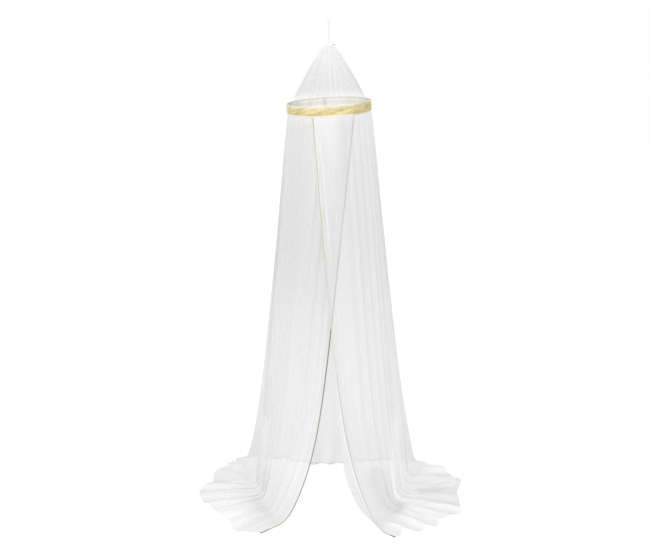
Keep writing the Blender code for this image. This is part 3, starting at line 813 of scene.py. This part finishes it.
def group_tree(name, inputs, outputs):
    """A node group that works on a UV map, with its number inputs and outputs."""
    tree = bpy.data.node_groups.new(name, "ShaderNodeTree")
    tree.interface.new_socket("UV", in_out="INPUT", socket_type="NodeSocketVector")
    for label, default in inputs.items():
        socket = tree.interface.new_socket(label, in_out="INPUT", socket_type="NodeSocketFloat")
        socket.default_value = default
    for label in outputs:
        tree.interface.new_socket(label, in_out="OUTPUT", socket_type="NodeSocketFloat")
    return tree, tree.nodes.new("NodeGroupInput").outputs, tree.nodes.new("NodeGroupOutput").inputs


def weave_group():
    """Crossing threads on a UV map: a mask of the threads, and their height."""
    tree, given, out = group_tree(
        "Woven threads", {"Threads Across": 1000.0, "Threads Along": 1000.0, "Unevenness": 0.3},
        ("Threads", "Height"))
    parts = add_node(tree, "ShaderNodeSeparateXYZ", {0: given["UV"]}).outputs
    waves = []
    for axis, count in (("X", "Threads Across"), ("Y", "Threads Along")):
        turns = maths(tree, "MULTIPLY", parts[axis], maths(tree, "MULTIPLY", given[count], 2 * math.pi))
        waves.append(mapped(tree, maths(tree, "SINE", turns), -1.0, 1.0, 0.0, 1.0))
    threads = maths(tree, "MAXIMUM", *waves)
    slubs = add_node(tree, "ShaderNodeTexNoise", {"Vector": given["UV"], "Scale": 160.0, "Detail": 2.0})
    slub = mapped(tree, slubs.outputs["Fac"], 0.3, 0.7, -0.5, 0.5)
    uneven = maths(tree, "MULTIPLY", slub, given["Unevenness"])
    tree.links.new(maths(tree, "ADD", threads, uneven, clamp=True), out["Threads"])
    tree.links.new(maths(tree, "MULTIPLY", *waves), out["Height"])
    return tree


def streak_group():
    """Long soft streaks along a UV map, for gathers and crinkles: their height and a mask."""
    tree, given, out = group_tree(
        "Soft streaks", {"Count Across": 200.0, "Count Along": 4.0, "Roughness": 0.6},
        ("Height", "Mask"))
    counts = add_node(tree, "ShaderNodeCombineXYZ", {"X": given["Count Across"], "Y": given["Count Along"],
                                                     "Z": 1.0}).outputs[0]
    scaled = add_node(tree, "ShaderNodeVectorMath", {0: given["UV"], 1: counts},
                      operation="MULTIPLY").outputs[0]
    noise = add_node(tree, "ShaderNodeTexNoise", {"Vector": scaled, "Scale": 1.0, "Detail": 3.0,
                                                  "Roughness": given["Roughness"]}).outputs["Fac"]
    tree.links.new(mapped(tree, noise, 0.25, 0.75, 0.0, 1.0), out["Height"])
    tree.links.new(add_node(tree, "ShaderNodeMapRange", {"Value": noise, "From Min": 0.36, "From Max": 0.64},
                            interpolation_type="SMOOTHSTEP").outputs[0], out["Mask"])
    return tree


def placed_group(tree, name, build, inputs):
    return add_node(tree, "ShaderNodeGroup", inputs,
                    node_tree=bpy.data.node_groups.get(name) or build()).outputs


def woven_threads(tree, uv, across, along, unevenness=0.3):
    return placed_group(tree, "Woven threads", weave_group, {
        "UV": uv, "Threads Across": across, "Threads Along": along, "Unevenness": unevenness})


def soft_streaks(tree, uv, across, along):
    return placed_group(tree, "Soft streaks", streak_group, {
        "UV": uv, "Count Across": across, "Count Along": along})


def net_material(name, threads_across, threads_along, streaks_across, streaks_along, thinnest):
    """Sheer white net: more see-through where it hangs single, and whiter, with painted light, where it is
    bunched; its colour runs from painted shade to painted light.
    """
    net = bpy.context.scene.canopy_net
    made, tree, shader = new_material(name)
    uv = cloth_uv(tree)
    weave = woven_threads(tree, uv, threads_across, threads_along)
    streaks = soft_streaks(tree, uv, streaks_across, streaks_along)
    # Painted light on the soft streaks of the gathers, with a little more cover there
    streak = shaded(tree, streaks["Mask"], -0.025, 0.025)
    light = maths(tree, "ADD", attribute(tree, "light"), streak, clamp=True)
    facing = add_node(tree, "ShaderNodeLayerWeight", {"Blend": 0.5}).outputs["Facing"]
    aslant = maths(tree, "MULTIPLY", maths(tree, "POWER", facing, 3.0), 0.25)
    covered = maths(tree, "ADD", attribute(tree, "cover"), streak)
    cover = shaded(tree, maths(tree, "ADD", covered, aslant, clamp=True), thinnest, net.bunched_cover)
    woven = shaded(tree, weave["Threads"], -net.weave_contrast, net.weave_contrast)
    relief = maths(tree, "ADD", maths(tree, "MULTIPLY", weave["Height"], 0.06), streaks["Height"])
    feed(tree, shader, {
        "Base Color": mixed_colour(tree, light, net.painted_shade_colour, net.painted_light_colour),
        "Alpha": maths(tree, "ADD", cover, woven, clamp=True),
        "Roughness": shaded(tree, weave["Height"], 0.85, 0.72),
        "Normal": bumped(tree, relief, 0.16, 0.002),
        "Sheen Weight": 0.12,
        "Sheen Roughness": 0.5,
        "Specular IOR Level": 0.25,
    })
    return made


def ribbon_material(name, across, along, deep, pale, cream, crinkle):
    """Pale gold ribbon: a fine weave, a soft lustre, and crinkles with painted shade and highlights."""
    made, tree, shader = new_material(name)
    uv = cloth_uv(tree)
    weave = woven_threads(tree, uv, across, along, unevenness=0.5)
    streaks = soft_streaks(tree, uv, across * 0.06, 2.0)
    # Painted shade and highlights: soft streaks along the bumped crinkles, added to the shade attribute
    tone = shaded(tree, streaks["Mask"], -0.12, 0.12)
    tone = maths(tree, "ADD", tone, attribute(tree, "shade"), clamp=True)
    relief = maths(tree, "ADD", maths(tree, "MULTIPLY", weave["Height"], 0.12), streaks["Height"])
    feed(tree, shader, {
        "Base Color": mixed_colour(tree, attribute(tree, "rim"), mixed_colour(tree, tone, pale, deep), cream),
        "Roughness": shaded(tree, weave["Threads"], 0.40, 0.62),
        "Metallic": shaded(tree, weave["Height"], 0.10, 0.30),
        "Normal": bumped(tree, relief, crinkle, 0.0015),
    })
    return made


def cord_material(name, colour, length, glow, end_colour=None, end_share=1.0):
    """Spun cord: strands with painted shade in soft streaks for their grooves, a slight fuzz, a painted glow,
    and a free end of its own colour.
    """
    made, tree, shader = new_material(name)
    fibres = soft_streaks(tree, cloth_uv(tree), 30.0, length * 400.0)
    # Painted shade: strands darker in soft streaks, as in their grooves
    strands = mixed_colour(tree, fibres["Mask"], darker(colour, 0.94), colour)
    if end_colour:
        along = add_node(tree, "ShaderNodeSeparateXYZ", {0: cloth_uv(tree)}).outputs["Y"]
        away = maths(tree, "ABSOLUTE", maths(tree, "SUBTRACT", along, end_share))
        strands = mixed_colour(tree, mapped(tree, away, 0.03, 0.06, 1.0, 0.0), strands, end_colour)
    feed(tree, shader, {
        "Base Color": strands,
        # Painted glow, standing in for light through the fibres
        "Emission Color": strands,
        "Emission Strength": glow,
        "Roughness": shaded(tree, fibres["Height"], 0.7, 0.95),
        "Normal": bumped(tree, fibres["Height"], 0.4, 0.0004),
    })
    return made


def strip_material(name, colour, glow):
    """White plastic strip: fine lines along it, scuffs, painted shade, and a painted glow that stands in for
    the light that comes through its thin wall.
    """
    made, tree, shader = new_material(name)
    uv = cloth_uv(tree)
    down = add_node(tree, "ShaderNodeSeparateXYZ", {0: uv}).outputs["Y"]
    lines = maths(tree, "SINE", maths(tree, "MULTIPLY", down, 2 * math.pi * 9.0))
    line = mapped(tree, lines, 0.55, 1.0, 0.0, 1.0)
    scuffs = soft_streaks(tree, uv, 60.0, 24.0)
    worn = maths(tree, "ADD", maths(tree, "MULTIPLY", line, 0.12),
                 maths(tree, "MULTIPLY", scuffs["Mask"], 0.08))
    # The shade attribute adds the dark joint lines and painted shade to the lines and scuffs
    tone = maths(tree, "ADD", worn, attribute(tree, "shade"), clamp=True)
    shown = mixed_colour(tree, tone, colour, darker(colour, 0.45))
    feed(tree, shader, {
        "Base Color": shown,
        # Painted glow, standing in for the light that comes through the thin wall
        "Emission Color": shown,
        "Emission Strength": glow,
        "Roughness": shaded(tree, scuffs["Mask"], 0.32, 0.5),
        "Normal": bumped(tree, line, 0.3, 0.0006, invert=True),
    })
    return made


def floor_material(name, colour, glow):
    """Pale studio floor, so evenly lit that it stays white under the net."""
    made, tree, shader = new_material(name)
    place = add_node(tree, "ShaderNodeTexCoord").outputs["Object"]
    noise = add_node(tree, "ShaderNodeTexNoise", {"Vector": place, "Scale": 3.0, "Detail": 4.0})
    feed(tree, shader, {
        "Base Color": mixed_colour(tree, noise.outputs["Fac"], colour, darker(colour, 0.97)),
        "Roughness": 0.9,
        "Specular IOR Level": 0.0,
        "Emission Color": (1.0, 1.0, 1.0, 1.0),
        "Emission Strength": glow,
    })
    return made


# What a user may change

def colour_setting(**said):
    return FloatVectorProperty(subtype="COLOR", size=3, min=0.0, max=1.0, **said)


def share_setting(highest=1.0, **said):
    return FloatProperty(subtype="FACTOR", min=0.0, max=highest, **said)


class CanopyNet(bpy.types.PropertyGroup):
    # Painted shade: the net's colour in its troughs and darker places
    painted_shade_colour: colour_setting(
        name="Shaded Net", description="Colour of the net in its troughs and where it hangs thin",
        default=(0.60, 0.60, 0.605))
    # Painted light: the net's colour on its ridges and lit places
    painted_light_colour: colour_setting(
        name="Light Net", description="Colour of the net on its ridges and where its gathers lie close",
        default=(0.93, 0.93, 0.93))
    single_cover: share_setting(
        name="Single Cover", description="How much of the view one layer of net covers", default=0.40)
    clear_cover: share_setting(
        name="Clear Cover", description="How much of the view the cap's net covers where it is sewn on",
        default=0.10)
    bunched_cover: share_setting(
        name="Bunched Cover", description="How much of the view the bunched net covers", default=0.88)
    weave_contrast: share_setting(
        name="Weave Contrast", description="How much the threads stand out from the holes",
        highest=0.5, default=0.05)
    thread_spacing: FloatProperty(
        name="Thread Spacing", description="Distance from thread to thread of the net",
        subtype="DISTANCE", unit="LENGTH", min=0.0005, max=0.01, default=0.0016)
    gathers_round: IntProperty(
        name="Gathers", description="Finest gathers round the skirt's material",
        min=50, max=1200, default=420)


class CanopyTrim(bpy.types.PropertyGroup):
    gold_pale: colour_setting(
        name="Pale Gold", description="Light colour of the ribbon round the hoop", default=(0.86, 0.75, 0.40))
    # Painted shade colour of the ribbon: in its crinkles, on its lap and left of the front
    gold_painted_shade: colour_setting(
        name="Deep Gold", description="Dark colour in the ribbon's crinkles", default=(0.52, 0.42, 0.17))
    # Colour of the cream rims and of the painted light that pales the ribbon's top
    gold_rims_and_top_light: colour_setting(
        name="Cream Gold", description="Colour of the ribbon's turned rims", default=(0.99, 0.96, 0.87))
    edging_pale: colour_setting(
        name="Pale Edging", description="Light colour of the tapes down the front edges",
        default=(0.90, 0.87, 0.73))
    # Painted shade colour of the tapes, on their shaded side and lower ends
    edging_painted_shade: colour_setting(
        name="Deep Edging", description="Dark colour of the tapes, beside the net",
        default=(0.13, 0.12, 0.08))
    crinkle: FloatProperty(
        name="Crinkle", description="Height of the crinkles round the band",
        subtype="DISTANCE", unit="LENGTH", min=0.0, max=0.003, default=0.0013)
    hoop_colour: colour_setting(
        name="Hoop", description="Colour of the plastic hoop inside the band", default=(0.98, 0.95, 0.86))
    # Painted glow of the hoop, standing in for light through its thin wall
    hoop_painted_glow: share_setting(
        name="Hoop Glow", description="Light that comes through the thin plastic hoop", default=0.20)
    loop_colour: colour_setting(
        name="Loop Cord", description="Colour of the cord that the canopy hangs by",
        default=(0.70, 0.70, 0.705))
    # Painted glow of the cords, standing in for light through their fibres
    cord_painted_glow: share_setting(
        name="Cord Glow", description="Light that comes through the fibres of the white cords", default=0.2)
    tie_colour: colour_setting(
        name="Tie Cord", description="Colour of the cord where it is tied round the crown",
        default=(0.99, 0.99, 0.98))
    tie_end_colour: colour_setting(
        name="Tie End", description="Colour of that cord on its free end", default=(0.10, 0.10, 0.105))


class CanopyStudio(bpy.types.PropertyGroup):
    floor_colour: colour_setting(
        name="Floor", description="Colour of the floor", default=(0.24, 0.24, 0.24))
    floor_glow: FloatProperty(
        name="Floor Glow", description="Even light that the floor gives off", min=0.0, max=2.0, default=0.80)
    room_light: FloatProperty(
        name="Room Light", description="Even light from all sides", min=0.0, max=3.0, default=0.88)
    key_light: FloatProperty(
        name="Key Light", description="Strength of the soft light from the front",
        min=0.0, max=10.0, default=0.70)
    key_turn: FloatProperty(
        name="Key Turn", description="How far the soft light stands to the left",
        subtype="ANGLE", default=math.radians(18.0))
    key_rise: FloatProperty(
        name="Key Rise", description="How high the soft light stands",
        subtype="ANGLE", default=math.radians(42.0))


# Pieces

class StudioOperator(bpy.types.Operator):
    """Sets the camera at the photograph's angle, the pale floor and the soft light"""
    bl_idname = "canopy.studio"
    bl_label = "Studio"

    def execute(self, context):
        studio = context.scene.canopy_studio
        camera = bpy.data.objects.new("camera", bpy.data.cameras.new("camera"))
        camera.location = CAMERA_PLACE
        camera.rotation_euler = (math.radians(CAMERA_TILT_DEG), 0.0, 0.0)
        camera.data.lens = CAMERA_LENS
        context.collection.objects.link(camera)
        context.scene.camera = camera

        mesh = bmesh.new()
        bmesh.ops.create_grid(mesh, x_segments=4, y_segments=4, size=FLOOR_REACH)
        bmesh.ops.translate(mesh, verts=mesh.verts, vec=(0.0, 0.0, -DROP))
        floor = finish_object("floor", mesh,
                              floor_material("Studio floor", studio.floor_colour, studio.floor_glow))

        sun = bpy.data.lights.new("soft_front_light", "SUN")
        sun.energy = studio.key_light
        sun.angle = math.radians(SUN_SPREAD_DEG)
        lamp = bpy.data.objects.new("soft_front_light", sun)
        lamp.rotation_euler = (math.pi / 2 - studio.key_rise, 0.0, -studio.key_turn)
        context.collection.objects.link(lamp)

        world = bpy.data.worlds.new("Even room light")
        context.scene.world = world
        world.use_nodes = True
        tree = world.node_tree
        back = tree.nodes["Background"]
        back.inputs["Color"].default_value = (1.0, 1.0, 1.0, 1.0)
        seen = add_node(tree, "ShaderNodeLightPath").outputs["Is Camera Ray"]
        tree.links.new(shaded(tree, seen, studio.room_light, 1.0), back.inputs["Strength"])
        context.scene.view_settings.view_transform = "Standard"
        context.scene.cycles.transparent_max_bounces = 32
        return {"FINISHED"}


class HangingLoopOperator(bpy.types.Operator):
    """Makes the doubled cord that the canopy hangs by"""
    bl_idname = "canopy.hanging_loop"
    bl_label = "Hanging Loop"

    def execute(self, context):
        trim = context.scene.canopy_trim
        half = [(-x, 0.0, z) for x, z in LOOP_ROUTE]
        route = np.array(half + [(-x, y, z) for x, y, z in reversed(half[:-1])])
        knots = np.arange(len(route), dtype=float)
        steps = np.linspace(0.0, knots[-1], (len(route) - 1) * 12 + 1)
        points, length = evenly([[smooth_through(knots, route[:, axis], step) for axis in range(3)]
                                 for step in steps], LOOP_POINTS)
        made = twisted_cord("loop_cord", points, LOOP_DIAMETER,
                            cord_material("Laid white cord", trim.loop_colour, length, trim.cord_painted_glow),
                            **LOOP_LAY)
        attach(made, "root")
        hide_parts("hanging_loop")
        return {"FINISHED"}


class CrownTieOperator(bpy.types.Operator):
    """Makes the cord tied round the neck of the crown, with its free end"""
    bl_idname = "canopy.crown_tie"
    bl_label = "Crown Tie"

    def execute(self, context):
        trim = context.scene.canopy_trim
        radius = CROWN[0][0] + NET_THICKNESS / 2 + TIE_GAP + TIE_DIAMETER / 2
        share = np.linspace(0.0, 1.0, 120)
        angle = np.radians(TIE_START_DEG + TIE_TURN_DEG * share)
        turn = np.stack([radius * np.sin(angle), -radius * np.cos(angle),
                         (CROWN[0][1] + CROWN[1][1]) / 2 + TIE_RISE * (share - 0.5)], axis=-1)
        line = np.vstack([turn, turn[-1] + np.array(TIE_TAIL)])
        knots = run_along(line)
        fine = np.linspace(0.0, knots[-1], 260)
        points = np.stack([smooth_through(knots, line[:, k], fine) for k in range(3)], axis=-1)
        points, length = evenly(points, TIE_POINTS)
        made = twisted_cord("tie_cord", points, TIE_DIAMETER,
                            cord_material("Laid grey cord", trim.tie_colour, length, trim.cord_painted_glow,
                                          trim.tie_end_colour, TIE_DARK_END), **TIE_LAY)
        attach(made, "root")
        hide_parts("crown_tie")
        return {"FINISHED"}


class CapOperator(bpy.types.Operator):
    """Makes the gathered net cone from the hoop to the crown"""
    bl_idname = "canopy.cap"
    bl_label = "Cap"

    def execute(self, context):
        net = context.scene.canopy_net
        mesh = moved_grid(CAP_COLUMNS, CAP_ROWS, cap_surface, closed=True, values=("cover", "light"))
        made = finish_object("cap_net", mesh, net_material(
            "Gathered cap net", 1.41 / net.thread_spacing, 0.42 / net.thread_spacing, 150.0, 1.6,
            net.clear_cover))
        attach(made, "root")
        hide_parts("cap")
        return {"FINISHED"}


class HoopOperator(bpy.types.Operator):
    """Makes the white strip inside the band, with its lapped joint at the back"""
    bl_idname = "canopy.hoop"
    bl_label = "Hoop"

    def execute(self, context):
        trim = context.scene.canopy_trim
        lap_start, lap_end = np.radians(STRIP_LAP_DEG)
        apart = HOOP_THICKNESS / 4
        mesh = moved_grid(*STRIP_GRID, partial(strip_surface, start=0.0, turn=2 * np.pi, shift=apart),
                          closed=True, values=("shade",))
        lap = moved_grid(*STRIP_LAP_GRID, partial(strip_surface, start=lap_end, turn=lap_end - lap_start,
                                                  shift=-apart - STRIP_LAP_GAP),
                         closed=True, capped=True, values=("shade",))
        extra = bpy.data.meshes.new("hoop_lap")
        lap.to_mesh(extra)
        lap.free()
        mesh.from_mesh(extra)
        bpy.data.meshes.remove(extra)
        made = finish_object("hoop_strip", mesh,
                             strip_material("White hoop strip", trim.hoop_colour, trim.hoop_painted_glow))
        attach(made, "root")
        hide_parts("hoop")
        return {"FINISHED"}


class BandOperator(bpy.types.Operator):
    """Makes the crinkled gold ribbon round the hoop, lapped where the left panel starts"""
    bl_idname = "canopy.band"
    bl_label = "Band"

    def execute(self, context):
        trim = context.scene.canopy_trim
        mesh = moved_grid(*RIBBON_GRID, partial(band_surface, crinkled=trim.crinkle),
                          closed=True, values=("shade", "rim"))
        made = finish_object("ribbon_band", mesh, ribbon_material(
            "Crinkled gold ribbon", 1400.0, 90.0, trim.gold_painted_shade, trim.gold_pale, trim.gold_rims_and_top_light, 0.4))
        wall = made.modifiers.new("Ribbon thickness", "SOLIDIFY")
        wall.thickness = RIBBON_THICKNESS
        wall.offset = 0.0
        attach(made, "root")
        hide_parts("band")
        return {"FINISHED"}


class SkirtOperator(bpy.types.Operator):
    """Makes the sheer net wall that hangs from the hoop and lies on the floor"""
    bl_idname = "canopy.skirt"
    bl_label = "Skirt"

    def execute(self, context):
        net = context.scene.canopy_net
        rows = np.concatenate([
            np.linspace(0.0, DROP_SHARE, SKIRT_DROP_ROWS, endpoint=False),
            np.linspace(DROP_SHARE, FLOOR_SHARE, SKIRT_BEND_ROWS, endpoint=False),
            np.linspace(FLOOR_SHARE, 1.0, SKIRT_FLOOR_ROWS + 1)])

        def place(across, down):
            return skirt_surface(across, rows[np.rint(down * (len(rows) - 1)).astype(int)])

        mesh = moved_grid(SKIRT_COLUMNS, len(rows) - 1, place, values=("cover", "light"))
        made = finish_object("skirt_net", mesh, net_material(
            "Sheer skirt net", 5.0 / net.thread_spacing, 2.45 / net.thread_spacing, net.gathers_round, 1.8,
            net.single_cover))
        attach(made, "root")
        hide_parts("skirt")
        return {"FINISHED"}


class EdgingOperator(bpy.types.Operator):
    """Makes the gold tapes along the two front edges"""
    bl_idname = "canopy.edging"
    bl_label = "Edging"

    def execute(self, context):
        trim = context.scene.canopy_trim
        material = ribbon_material("Gold edging", 30.0, 2400.0, trim.edging_painted_shade, trim.edging_pale,
                                   trim.gold_rims_and_top_light, 0.3)
        for name, node, edge_t, outward in (("left_tape", "left_binding", 0.0, -1),
                                            ("right_tape", "right_binding", 1.0, 1)):
            mesh = moved_grid(*TAPE_GRID, partial(tape_surface, edge_t=edge_t, outward=outward),
                              closed=True, capped=True, values=("shade",))
            made = finish_object(name, mesh, material)
            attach(made, "root")
            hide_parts(node)
        return {"FINISHED"}


class CanopyPanel(bpy.types.Panel):
    """Lists the canopy's pieces and what may be changed on them"""
    bl_idname = "VIEW3D_PT_bed_canopy"
    bl_label = "Bed Canopy"
    bl_space_type = "VIEW_3D"
    bl_region_type = "UI"
    bl_category = "Canopy"

    def draw(self, context):
        layout = self.layout
        for group in SETTINGS:
            box = layout.box()
            box.label(text=group)
            settings = getattr(context.scene, group)
            for key in settings.__annotations__:
                box.prop(settings, key)
        for piece in PIECES:
            layout.operator(piece.bl_idname)


SETTINGS = {"canopy_net": CanopyNet, "canopy_trim": CanopyTrim, "canopy_studio": CanopyStudio}
PIECES = (StudioOperator, HangingLoopOperator, CrownTieOperator, HoopOperator, BandOperator, CapOperator,
          SkirtOperator, EdgingOperator)


def register():
    for made in (*SETTINGS.values(), *PIECES, CanopyPanel):
        bpy.utils.register_class(made)
    for name, group in SETTINGS.items():
        setattr(bpy.types.Scene, name, PointerProperty(type=group))


def unregister():
    for name in SETTINGS:
        delattr(bpy.types.Scene, name)
    for made in reversed((*SETTINGS.values(), *PIECES, CanopyPanel)):
        bpy.utils.unregister_class(made)


def main():
    register()
    bpy.ops.canopy.studio()
    bpy.ops.canopy.hanging_loop()
    bpy.ops.canopy.crown_tie()
    bpy.ops.canopy.hoop()
    bpy.ops.canopy.band()
    bpy.ops.canopy.cap()
    bpy.ops.canopy.skirt()
    bpy.ops.canopy.edging()
    bpy.context.view_layer.update()


if __name__ == "__main__":
    main()
